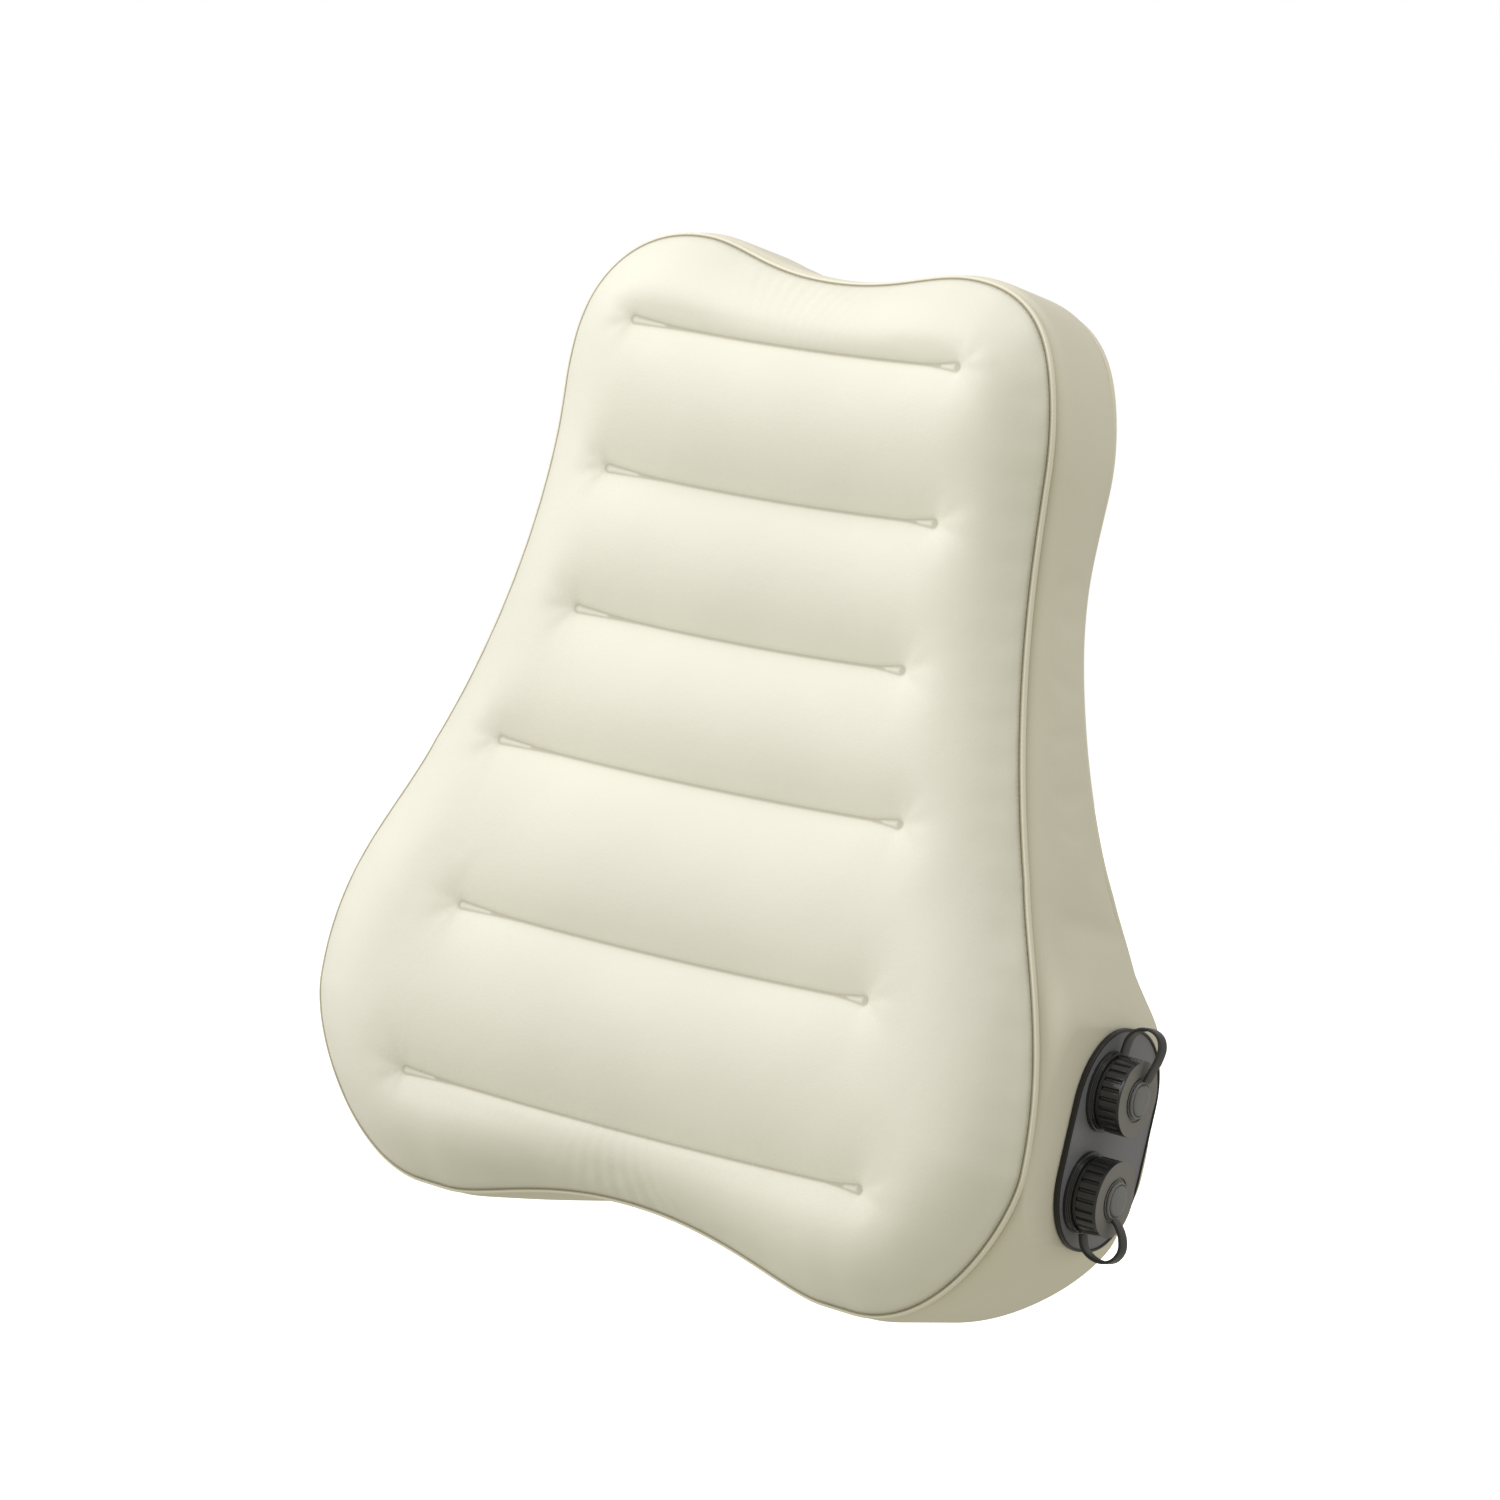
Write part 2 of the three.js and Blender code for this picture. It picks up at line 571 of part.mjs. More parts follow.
// One valve on the plate. The lower valve is the upper one turned half round its axis, so its
// tether hangs down.
function valve(place) {
  const up = place === 'upper' ? 1 : -1;
  const group = new THREE.Group();
  group.add(
    piece(`${place}_valve_base`, valveBase(), LOOK.valve()),
    piece(`${place}_tether_ring`, tetherRing(), LOOK.strap()),
    piece(`${place}_tether_strap`, tetherStrap(STRAPS[place]), LOOK.strap()),
    piece(`${place}_ribbed_collar`, ribbedCollar(), LOOK.valve()),
    piece(`${place}_collar_seal`, collarSeal(), LOOK.flap()),
    piece(`${place}_flap_seat`, flapSeat(), LOOK.valve()),
    piece(`${place}_check_flap`, checkFlap(), LOOK.flap()),
    piece(`${place}_port_plug`, portPlug(), LOOK.plate()),
  );
  group.setRotationFromMatrix(new THREE.Matrix4().makeBasis(
    new THREE.Vector3(0, 0, up), new THREE.Vector3(1, 0, 0), new THREE.Vector3(0, up, 0),
  ));
  group.position.set(BAND_FLAT_X + GAP + PLATE_THICKNESS, VALVE_Y, VALVE_Z[place]);
  return group;
}

const pillow = new THREE.Group();
pillow.add(
  piece('front_panel', frontPanel(), LOOK.panel()),
  piece('back_panel', backPanel(), LOOK.panel()),
  piece('side_band', sideBand(), LOOK.band()),
  piece('front_seam_bead', seamBead(frontAt), LOOK.bead()),
  piece('rear_seam_bead', seamBead((z) => backAt(z) - SEAM_BAND), LOOK.bead()),
  ...WELDS.map((weld, i) => piece(`inner_web_${i + 1}`, web(weld), LOOK.web())),
  piece('valve_plate', valvePlate(), LOOK.plate()),
  valve('upper'),
  valve('lower'),
);

// The origin is the middle of the bottom of the bounding box.
const box = new THREE.Box3().setFromObject(pillow, true);
const middle = box.getCenter(new THREE.Vector3());
pillow.position.set(-middle.x, -middle.y, -box.min.z);
const object = new THREE.Group();
object.add(pillow);

export default object;
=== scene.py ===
"""Looks of the inflatable camp pillow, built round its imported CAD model.

Shapes are worked out in millimetres about the seam plane, which is read from the frame: x from
the middle plane, y behind the front seam's mean plane, z above the lowest seam point. place()
turns them into the row frame, in metres.
"""

import math

import bmesh
import bpy
import numpy as np
from mathutils import Matrix, Vector
from mathutils.geometry import delaunay_2d_cdt


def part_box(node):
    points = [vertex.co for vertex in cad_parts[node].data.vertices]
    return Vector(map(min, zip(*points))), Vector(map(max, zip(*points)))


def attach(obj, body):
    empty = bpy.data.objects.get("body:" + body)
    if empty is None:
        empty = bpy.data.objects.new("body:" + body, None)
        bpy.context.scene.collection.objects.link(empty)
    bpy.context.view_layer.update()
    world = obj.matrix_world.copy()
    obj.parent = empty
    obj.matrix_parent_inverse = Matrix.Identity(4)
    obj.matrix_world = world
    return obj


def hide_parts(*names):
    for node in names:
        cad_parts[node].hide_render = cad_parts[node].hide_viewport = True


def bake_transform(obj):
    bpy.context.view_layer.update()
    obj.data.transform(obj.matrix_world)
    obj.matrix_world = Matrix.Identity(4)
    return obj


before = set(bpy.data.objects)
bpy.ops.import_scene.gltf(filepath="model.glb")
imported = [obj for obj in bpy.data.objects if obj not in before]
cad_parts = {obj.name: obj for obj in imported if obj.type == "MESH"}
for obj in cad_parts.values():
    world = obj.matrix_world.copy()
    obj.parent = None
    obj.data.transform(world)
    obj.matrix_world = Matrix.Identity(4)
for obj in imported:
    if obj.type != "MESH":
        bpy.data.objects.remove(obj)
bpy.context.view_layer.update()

# ---- Sizes from the frame ----------------------------------------------------------------------
MM = 0.001
scene = bpy.context.scene

front_low, front_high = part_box("front_panel")
band_low, band_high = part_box("side_band")
plate_low, plate_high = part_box("valve_plate")

# Depth of the front seam by height, and of the whole pillow between its seams.
FRONT_AT = [(0, 10), (60, 0), (120, -3), (190, 2), (260, 3), (330, 0), (390, -7.5), (428, -4)]
DEPTH_AT = [
    (0, 79), (45, 101), (100, 108), (155, 97), (205, 73), (258, 57.5), (310, 50.5), (370, 58.5), (428, 59),
]

MIDDLE_X = (front_low.x + front_high.x) / 2
SEAM_Y = front_high.y - FRONT_AT[0][1] * MM
SEAM_Z = front_low.z
HALF_WIDTH = (front_high.x - front_low.x) / 2 / MM
HEIGHT = (front_high.z - front_low.z) / MM
FOOT_BULGE = (front_low.z - band_low.z) / MM
TOP_BULGE = (band_high.z - front_high.z) / MM
BAND_FLAT_X = (band_high.x - MIDDLE_X) / MM


def place(x, y, z):
    """A point of the seam plane's millimetres in the row frame."""
    return Vector((MIDDLE_X + x * MM, SEAM_Y + y * MM, SEAM_Z + z * MM))


# ---- Driving dimensions, in millimetres --------------------------------------------------------
NOTCH_RISE = 17
DIP_DROP = 11
FOOT_X = (99, 113.5)
TOP_LOBE_X = 67.5
HIP = (151.4, 190)
WAIST = (121.9, 352)
WAIST_BULGE = 5.6
SEAM_BAND = 4  # depth that the bead takes beside each seam
BEAD_REACH = 1.9
BEAD_ROOT = 0.9
FRONT_CROWN = 22
BACK_CROWN = 12
CROWN_REACH = 45
CROWN_POWER = 2.5  # how fast a panel rises from its seam
WELDS = [  # height, half length, middle
    (49.5, 119.5, 1), (125.5, 105.5, 0), (199, 104, -4), (261.5, 84.5, 0), (323.5, 84.5, 1), (388, 83, 1),
]
WELD_TILT = 0.022  # each weld climbs a little to the right
WELD_SAG = 2.2
WELD_DEPTH = {"front": 8, "back": 5}
WELD_REACH = 34  # how far a weld pulls the panel in on each side
WELD_POWER = 2.6  # how sharply the tubes meet at a weld
WELD_END_RISE = 0.25  # share of its depth that a weld loses at its ends
FABRIC = 0.8
MESH_STEP = 3.8

RANDOM = np.random.default_rng(12)

# ---- Camera ------------------------------------------------------------------------------------
CAMERA_AZIMUTH = math.radians(32)
CAMERA_ELEVATION = math.radians(0.56)
CAMERA_ROLL = math.radians(12.818)
CAMERA_DISTANCE = 1.92313
CAMERA_LENS = 108.86
AIM = place(10.694, 0, 216.808)


def make_camera():
    data = bpy.data.cameras.new("camera")
    data.lens = CAMERA_LENS
    data.sensor_width = 36
    data.clip_end = 50
    camera = bpy.data.objects.new("camera", data)
    back = Vector((
        math.sin(CAMERA_AZIMUTH) * math.cos(CAMERA_ELEVATION),
        -math.cos(CAMERA_AZIMUTH) * math.cos(CAMERA_ELEVATION),
        math.sin(CAMERA_ELEVATION),
    ))
    right = Vector((math.cos(CAMERA_AZIMUTH), math.sin(CAMERA_AZIMUTH), 0))
    up = back.cross(right)
    rolled_right = right * math.cos(CAMERA_ROLL) + up * math.sin(CAMERA_ROLL)
    rolled_up = up * math.cos(CAMERA_ROLL) - right * math.sin(CAMERA_ROLL)
    turn = Matrix((rolled_right, rolled_up, back)).transposed().to_4x4()
    camera.matrix_world = Matrix.Translation(AIM + back * CAMERA_DISTANCE) @ turn
    scene.collection.objects.link(camera)
    scene.camera = camera


make_camera()


# ---- Materials ---------------------------------------------------------------------------------
class Nodes:
    """A material's node tree, with short calls for adding and joining nodes."""

    def __init__(self, name):
        self.material = bpy.data.materials.new(name)
        self.material.use_nodes = True
        self.tree = self.material.node_tree
        self.shader = self.tree.nodes["Principled BSDF"]

    def add(self, kind, inputs=(), **settings):
        node = self.tree.nodes.new(kind)
        for key, value in settings.items():
            setattr(node, key, value)
        for key, value in dict(inputs).items():
            if isinstance(value, bpy.types.NodeSocket):
                self.tree.links.new(value, node.inputs[key])
            else:
                node.inputs[key].default_value = value
        return node

    def link(self, source, socket):
        self.tree.links.new(source, self.shader.inputs[socket])

    def set(self, **values):
        for key, value in values.items():
            self.shader.inputs[key.replace("_", " ")].default_value = value

    def mix(self, factor, a, b):
        node = self.add("ShaderNodeMix", data_type="RGBA")
        for socket, value in ((node.inputs[0], factor), (node.inputs[6], a), (node.inputs[7], b)):
            if isinstance(value, bpy.types.NodeSocket):
                self.tree.links.new(value, socket)
            else:
                socket.default_value = value
        return node.outputs[2]

    def maths(self, operation, a, b=0.0):
        node = self.add("ShaderNodeMath", operation=operation)
        for socket, value in ((node.inputs[0], a), (node.inputs[1], b)):
            if isinstance(value, bpy.types.NodeSocket):
                self.tree.links.new(value, socket)
            else:
                socket.default_value = value
        return node.outputs[0]


def linear(red, green, blue):
    """A colour given as sRGB bytes, as the shader's linear numbers."""
    def one(byte):
        share = byte / 255
        return share / 12.92 if share <= 0.04045 else ((share + 0.055) / 1.055) ** 2.4
    return (one(red), one(green), one(blue), 1.0)


THREADS = 4400.0  # radians of weave in a metre: threads about 1.4 mm apart


def fabric(name, colour, crease_shade_colour):
    """Coated fabric: a very fine weave, a soft sheen, faint blotches, and painted shade in the creases
    along the welds and seams.
    """
    n = Nodes(name)
    where = n.add("ShaderNodeTexCoord").outputs["Object"]
    split = n.add("ShaderNodeSeparateXYZ", {"Vector": where})
    across = n.maths("ADD", split.outputs["X"], split.outputs["Y"])
    warp = n.maths("SINE", n.maths("MULTIPLY", across, THREADS))
    weft = n.maths("SINE", n.maths("MULTIPLY", split.outputs["Z"], THREADS))
    weave = n.maths("MULTIPLY", warp, weft)
    fuzz = n.add("ShaderNodeTexNoise", {"Vector": where, "Scale": 900.0, "Detail": 3.0})
    puffs = n.add("ShaderNodeTexNoise", {
        "Vector": where, "Scale": 42.0, "Detail": 4.0, "Roughness": 0.55,
    })
    blotch = n.add("ShaderNodeTexNoise", {"Vector": where, "Scale": 9.0, "Detail": 2.0})
    fine = n.add("ShaderNodeBump", {"Height": weave, "Strength": 0.1, "Distance": 0.0002})
    soft = n.add("ShaderNodeBump", {
        "Height": fuzz.outputs["Fac"], "Strength": 0.12, "Distance": 0.0004,
        "Normal": fine.outputs["Normal"],
    })
    slow = n.add("ShaderNodeBump", {
        "Height": puffs.outputs["Fac"], "Strength": 0.1, "Distance": 0.003,
        "Normal": soft.outputs["Normal"],
    })
    n.link(slow.outputs["Normal"], "Normal")
    pale = tuple(min(1.0, c * 1.03) for c in colour[:3]) + (1.0,)
    dim = tuple(c * 0.965 for c in colour[:3]) + (1.0,)
    ramp = n.add("ShaderNodeMapRange", {
        "Value": blotch.outputs["Fac"], "From Min": 0.35, "From Max": 0.65,
    })
    tone = n.mix(ramp.outputs["Result"], dim, pale)
    # Painted shade: a point attribute darkens the fabric towards the crease colour in the weld and seam
    # creases.
    crease_shade = n.add("ShaderNodeAttribute", attribute_name="crease_shade")
    n.link(n.mix(crease_shade.outputs["Fac"], tone, crease_shade_colour), "Base Color")
    rough = n.add("ShaderNodeMapRange", {"Value": fuzz.outputs["Fac"], "To Min": 0.52, "To Max": 0.66})
    n.link(rough.outputs["Result"], "Roughness")
    n.set(Specular_IOR_Level=0.35, Sheen_Weight=0.12, Sheen_Roughness=0.5)
    return n.material


def moulded(name, colour, roughness, grain, wear=0.0):
    """Moulded rubber or plastic: fine grain, uneven gloss and a little pale wear on its edges."""
    n = Nodes(name)
    where = n.add("ShaderNodeTexCoord").outputs["Object"]
    fine = n.add("ShaderNodeTexNoise", {"Vector": where, "Scale": 1400.0, "Detail": 3.0})
    broad = n.add("ShaderNodeTexNoise", {"Vector": where, "Scale": 70.0, "Detail": 4.0})
    bump = n.add("ShaderNodeBump", {"Height": fine.outputs["Fac"], "Strength": grain, "Distance": 0.0003})
    n.link(bump.outputs["Normal"], "Normal")
    worn = tuple(c + 0.05 for c in colour[:3]) + (1.0,)
    shade = tuple(c * 0.8 for c in colour[:3]) + (1.0,)
    tone = n.mix(broad.outputs["Fac"], shade, colour)
    edge = n.add("ShaderNodeNewGeometry").outputs["Pointiness"]
    edge = n.add("ShaderNodeMapRange", {"Value": edge, "From Min": 0.52, "From Max": 0.6})
    n.link(n.mix(n.maths("MULTIPLY", edge.outputs["Result"], wear), tone, worn), "Base Color")
    gloss = n.add("ShaderNodeMapRange", {
        "Value": broad.outputs["Fac"], "To Min": roughness - 0.07, "To Max": roughness + 0.08,
    })
    n.link(gloss.outputs["Result"], "Roughness")
    n.set(Specular_IOR_Level=0.5)
    return n.material


# Colour of the painted shade in the creases along welds, seams and beads.
CREASE_SHADE = linear(138, 130, 100)
PANEL_LOOK = fabric("panel_fabric", linear(234, 232, 217), CREASE_SHADE)
# The band's fabric: its own colour, made a little darker and yellower than the panel's as painted warm
# shade.
BAND_LOOK = fabric("band_fabric", linear(230, 225, 206), CREASE_SHADE)
BEAD_LOOK = fabric("bead_fabric", linear(238, 233, 213), CREASE_SHADE)
WEB_LOOK = fabric("web_fabric", linear(238, 236, 226), CREASE_SHADE)
PLATE_LOOK = moulded("plate_rubber", linear(132, 132, 139), 0.5, 0.25, 0.3)
RIM_LOOK = moulded("rim_rubber", linear(30, 28, 26), 0.42, 0.2)
VALVE_LOOK = moulded("valve_plastic", linear(50, 50, 52), 0.26, 0.12, 0.4)
DISC_LOOK = moulded("disc_plastic", linear(136, 134, 131), 0.5, 0.3, 0.3)
PLUG_LOOK = moulded("plug_plastic", linear(130, 130, 131), 0.42, 0.3, 0.3)
STRAP_LOOK = moulded("tether_rubber", linear(38, 38, 40), 0.34, 0.15, 0.3)
SEAL_LOOK = moulded("seal_rubber", linear(200, 198, 190), 0.35, 0.1)


# ---- Outline and depth -------------------------------------------------------------------------
def bezier(a, b, c, d, steps):
    t = np.arange(steps)[:, None] / steps
    a, b, c, d = (np.array(p, float) for p in (a, b, c, d))
    return a * (1 - t) ** 3 + 3 * b * t * (1 - t) ** 2 + 3 * c * t**2 * (1 - t) + d * t**3


def straight(a, b, steps):
    t = np.arange(steps)[:, None] / steps
    return np.array(a, float) * (1 - t) + np.array(b, float) * t


def half_outline(belly, plain=False):
    """One half of the seam line, or of the band's belly line, bottom middle to top middle.

    The band is flat where the valve plate sits, and rounder on the plain side.
    """
    foot = -FOOT_BULGE if belly else 0
    top = HEIGHT + (TOP_BULGE if belly else 0)
    bulge = WAIST_BULGE if belly else 0
    side = BAND_FLAT_X if belly else HALF_WIDTH
    side_low, side_high = (47, 137) if belly and not plain else (76, 80)
    lobe_z = 40 if belly and not plain else 53
    shoulder_z = side_high + 48 * (0.2 if belly and not plain else 1)
    hip_x, hip_z = HIP[0] + bulge, HIP[1]
    waist_x, waist_z = WAIST[0] + bulge, WAIST[1]
    notch, dip = foot + NOTCH_RISE, top - DIP_DROP
    return np.concatenate([
        bezier((0, notch), (49, notch), (79, foot), (FOOT_X[0], foot), 34),
        straight((FOOT_X[0], foot), (FOOT_X[1], foot), 5),
        bezier((FOOT_X[1], foot), (153, foot), (side, lobe_z), (side, side_low), 38),
        straight((side, side_low), (side, side_high), 14),
        bezier((side, side_high), (side, shoulder_z), (hip_x + 9.7, hip_z - 32), (hip_x, hip_z), 28),
        bezier((hip_x, hip_z), (hip_x - 16.8, hip_z + 45), (waist_x, waist_z - 62), (waist_x, waist_z), 54),
        bezier((waist_x, waist_z), (waist_x, waist_z + 38), (111, top), (TOP_LOBE_X, top), 36),
        bezier((TOP_LOBE_X, top), (47, top), (34, dip), (0, dip), 24),
        [(0, dip)],
    ])


def outline(belly=False):
    right = half_outline(belly)
    left = half_outline(belly, plain=True)[1:-1][::-1] * (-1, 1)
    return np.concatenate([right, left])


def outward(ring):
    along = np.roll(ring, -1, 0) - np.roll(ring, 1, 0)
    along /= np.linalg.norm(along, axis=1)[:, None]
    return np.stack([along[:, 1], -along[:, 0]], 1)


def spline(points, steps=40, looped=False):
    """Many points on the smooth curve through a few."""
    p = np.array(points, float)
    p = np.concatenate([p[-1:], p, p[:2]]) if looped else np.concatenate([p[:1], p, p[-1:]])
    t = (np.arange(steps) / steps)[:, None]
    rows = []
    for a, b, c, d in zip(p, p[1:], p[2:], p[3:]):
        v0, v1 = (c - a) / 2, (d - b) / 2
        rows.append((2 * b - 2 * c + v0 + v1) * t**3 + (3 * c - 3 * b - 2 * v0 - v1) * t**2 + v0 * t + b)
    return np.concatenate(rows if looped else [*rows, p[-1:]])


FRONT_TABLE = spline(FRONT_AT).T
DEPTH_TABLE = spline(DEPTH_AT).T
SEAM = outline()
BELLY = outline(belly=True)
SEAM_OUT = outward(SEAM)


def front_at(z):
    return np.interp(z, *FRONT_TABLE)


def back_at(z):
    return front_at(z) + np.interp(z, *DEPTH_TABLE)


def distance_to_lines(points, starts, ends):
    """The distance from each point to the nearest of some line segments."""
    best = np.full(len(points), np.inf)
    for a, b in zip(starts, ends):
        ab = b - a
        t = np.clip(((points - a) @ ab) / max(ab @ ab, 1e-12), 0, 1)
        best = np.minimum(best, np.linalg.norm(points - a - t[:, None] * ab, axis=1))
    return best


def distance_to_ring(points, ring):
    return distance_to_lines(points, ring, np.roll(ring, -1, 0))


def inside(points, ring):
    """Which points lie inside a closed ring."""
    x, z = points[:, 0], points[:, 1]
    hit = np.zeros(len(points), bool)
    for (x1, z1), (x2, z2) in zip(ring, np.roll(ring, -1, 0)):
        if z1 != z2:
            crosses = (z1 > z) != (z2 > z)
            hit ^= crosses & (x < (x2 - x1) * (z - z1) / (z2 - z1) + x1)
    return hit


# ---- Meshes ------------------------------------------------------------------------------------
def new_object(name, points, faces, look):
    mesh = bpy.data.meshes.new(name)
    mesh.from_pydata([tuple(p) for p in points], [], [tuple(f) for f in faces])
    mesh.validate()
    mesh.polygons.foreach_set("use_smooth", [True] * len(mesh.polygons))
    mesh.materials.append(look)
    obj = bpy.data.objects.new(name, mesh)
    scene.collection.objects.link(obj)
    return obj


def point_outwards(obj):
    """Makes a closed piece's faces look out, and joins points that coincide."""
    mesh = bmesh.new()
    mesh.from_mesh(obj.data)
    bmesh.ops.remove_doubles(mesh, verts=mesh.verts, dist=1e-7)
    bmesh.ops.recalc_face_normals(mesh, faces=mesh.faces)
    mesh.to_mesh(obj.data)
    mesh.free()


def loft_faces(rings, count, closed=True):
    """Quads between rings of points. Closed: the last ring joins the first."""
    return [
        (r * count + i, r * count + (i + 1) % count,
         (r + 1) % rings * count + (i + 1) % count, (r + 1) % rings * count + i)
        for r in range(rings if closed else rings - 1)
        for i in range(count)
    ]


LATTICE_GAP = 0.62  # share of a step that the lattice keeps clear of the loops


def triangulate(loops, step, extra):
    """Even triangles inside the first loop, with every loop's edges and the extra points kept."""
    outer = loops[0]
    low, high = outer.min(0), outer.max(0)
    rows = np.arange(low[1], high[1], step * math.sqrt(3) / 2)
    lattice = np.array([
        (x, z)
        for r, z in enumerate(rows)
        for x in np.arange(low[0] + (r % 2) * step / 2, high[0], step)
    ])
    starts = np.concatenate(loops)
    ends = np.concatenate([np.roll(loop, -1, 0) for loop in loops])
    clear = inside(lattice, outer) & (distance_to_lines(lattice, starts, ends) > LATTICE_GAP * step)
    points = np.concatenate([starts, extra, lattice[clear]])
    edges = []
    first = 0
    for loop in loops:
        count = len(loop)
        edges += [(first + i, first + (i + 1) % count) for i in range(count)]
        first += count
    found, _, faces, _, _, _ = delaunay_2d_cdt([Vector(p) for p in points], edges, [], 1, 1e-5)
    return np.array([tuple(p) for p in found]), [list(f) for f in faces]


def write_crease_shade(obj, values):
    """Stores how much painted crease shade each point gets, which the fabric materials read."""
    attribute = obj.data.attributes.new("crease_shade", "FLOAT", "POINT")
    attribute.data.foreach_set("value", np.asarray(values, np.float32))


def solidify(obj):
    """Gives a sheet the fabric's thickness, inwards."""
    modifier = obj.modifiers.new("thickness", "SOLIDIFY")
    modifier.thickness = FABRIC * MM
    modifier.offset = -1.0
    modifier.use_quality_normals = True


def subdivide(obj):
    modifier = obj.modifiers.new("smooth", "SUBSURF")
    modifier.levels = 1
    modifier.render_levels = 1
    modifier.boundary_smooth = "PRESERVE_CORNERS"


def weigh_normals(obj):
    """Keeps flat faces looking flat beside their rounded edges."""
    obj.modifiers.new("normals", "WEIGHTED_NORMAL")


def apply_modifiers(obj):
    """Turns what the modifiers make into the piece's own mesh."""
    shown = obj.evaluated_get(bpy.context.evaluated_depsgraph_get())
    mesh = bpy.data.meshes.new_from_object(shown)
    obj.modifiers.clear()
    obj.data = mesh


# ---- Cloth -------------------------------------------------------------------------------------
CLOTH_FRAMES = 20
CLOTH = {
    "quality": 7, "mass": 0.12, "tension_stiffness": 30, "compression_stiffness": 18,
    "shear_stiffness": 12, "bending_stiffness": 0.6, "air_damping": 3,
}


def inflate(obj, held, pressure, cap):
    """Blows a sheet up with held points fixed. No point moves further than cap."""
    rest = np.array([v.co for v in obj.data.vertices])
    group = obj.vertex_groups.new(name="held")
    group.add([int(i) for i in np.flatnonzero(held)], 1.0, "REPLACE")
    modifier = obj.modifiers.new("cloth", "CLOTH")
    settings = modifier.settings
    for key, value in CLOTH.items():
        setattr(settings, key, value)
    settings.use_pressure = True
    settings.uniform_pressure_force = pressure
    settings.vertex_group_mass = "held"
    settings.effector_weights.gravity = 0
    modifier.collision_settings.use_collision = False
    modifier.point_cache.frame_start = 1
    modifier.point_cache.frame_end = CLOTH_FRAMES
    for step in range(1, CLOTH_FRAMES + 1):
        scene.frame_set(step)
    shown = obj.evaluated_get(bpy.context.evaluated_depsgraph_get())
    moved = np.array([v.co for v in shown.data.vertices]) - rest
    length = np.linalg.norm(moved, axis=1)
    moved *= np.minimum(1, cap * MM / np.maximum(length, 1e-9))[:, None]
    obj.modifiers.clear()
    obj.vertex_groups.clear()
    obj.data.vertices.foreach_set("co", (rest + moved).ravel())
    obj.data.update()
    scene.frame_set(1)
    print(f"{obj.name}: cloth moved points by up to {length.max() / MM:.1f} mm")


# ---- Panels ------------------------------------------------------------------------------------
LINE_HALF = 0.32  # half the width of a weld where its two sides meet in a crease
PADDLE = {"left": (2.1, 34), "right": (2.6, 20)}  # half width and taper of each open end
PADDLE_POWER = 1.6
SLOT_STEP = 2.6
SLOT_GROWTH = (0.6, 2.0, 4.4)  # rows of points round each weld
SEAM_ROWS = (1.2, 3.4)
SEAM_HOLD = 0.3  # the cloth is held this near the seam, and this near a weld
WELD_HOLD = 0.05
WELD_SHADE = (0.45, 0.35)  # how dark the painted shade in a weld's crease is, and how fast it fades
# How dark the painted shade in the groove at the seam is, and how fast it fades.
SEAM_SHADE = (0.5, 0.6)


def weld_line(weld, xs):
    """Heights of a weld's middle line."""
    z, half_length, middle = weld
    t = (xs - middle) / half_length
    return z + WELD_TILT * (xs - middle) - WELD_SAG * (1 - t**2)


def weld_slot(weld, grow=0.0):
    """The edge of one weld: a thin line that opens into a rounded paddle at each end."""
    _, half_length, middle = weld
    low, high = middle - half_length, middle + half_length
    count = int(2 * half_length / SLOT_STEP)
    xs = np.linspace(low + PADDLE["left"][0], high - PADDLE["right"][0], count)
    half = np.full(len(xs), LINE_HALF)
    for gap, (width, run) in ((xs - low, PADDLE["left"]), (high - xs, PADDLE["right"])):
        half += (width - LINE_HALF) * np.clip(1 - gap / run, 0, 1) ** PADDLE_POWER
    level = weld_line(weld, xs)
    lower = np.stack([xs, level - half - grow], 1)
    upper = np.stack([xs, level + half + grow], 1)[::-1]
    turn = np.linspace(-math.pi / 2, math.pi / 2, 7)[1:-1]

    def cap(foot, width, sign, angles):
        return [
            (foot[0] + sign * width * math.cos(a), foot[1] + width * (1 + math.sin(a)))
            for a in angles
        ]

    right_cap = cap(lower[-1], half[-1] + grow, 1, turn)
    left_cap = cap(lower[0], half[0] + grow, -1, turn[::-1])
    return np.concatenate([lower, right_cap, upper, left_cap])


PADDLE_TIP = 2.2


def paddle_middles(weld):
    """Points along the middle of a weld's two open ends."""
    _, half_length, middle = weld
    low, high = middle - half_length, middle + half_length
    left = np.arange(low + PADDLE_TIP, low + PADDLE["left"][1] * 0.45, SLOT_STEP)
    right = np.arange(high - PADDLE["right"][1] * 0.5, high - PADDLE_TIP, SLOT_STEP)
    xs = np.concatenate([left, right])
    return np.stack([xs, weld_line(weld, xs)], 1)


END_PUCKER = {"height": 0.14, "reach": 9, "spread": 8, "folds": 6}
EDGE_PUCKERS = (  # height up the pillow, distance between folds, sideways shift
    (HEIGHT - DIP_DROP, 6.5, 1.7),
    (NOTCH_RISE, 9.0, 0.4),
)
EDGE_PUCKER_HEIGHT = 0.4
SEAM_PUCKER_HEIGHT = 0.22


def end_puckers(x, z):
    """Short folds that fan out from the ends of the welds."""
    amount = np.zeros(len(x))
    for weld in WELDS:
        for sign in (-1, 1):
            end_x = weld[2] + sign * weld[1]
            end_z = weld_line(weld, np.array(end_x))
            dx, dz = (x - end_x) * sign, z - end_z
            reach = np.hypot(dx, dz)
            turn = np.arctan2(dz, dx)
            phase = RANDOM.uniform(0, 2 * math.pi)
            fade = np.exp(-((reach - END_PUCKER["reach"]) / END_PUCKER["spread"]) ** 2)
            fade *= np.clip(0.4 + np.cos(turn), 0, 1)
            amount += END_PUCKER["height"] * fade * np.cos(END_PUCKER["folds"] * turn + phase)
    return amount


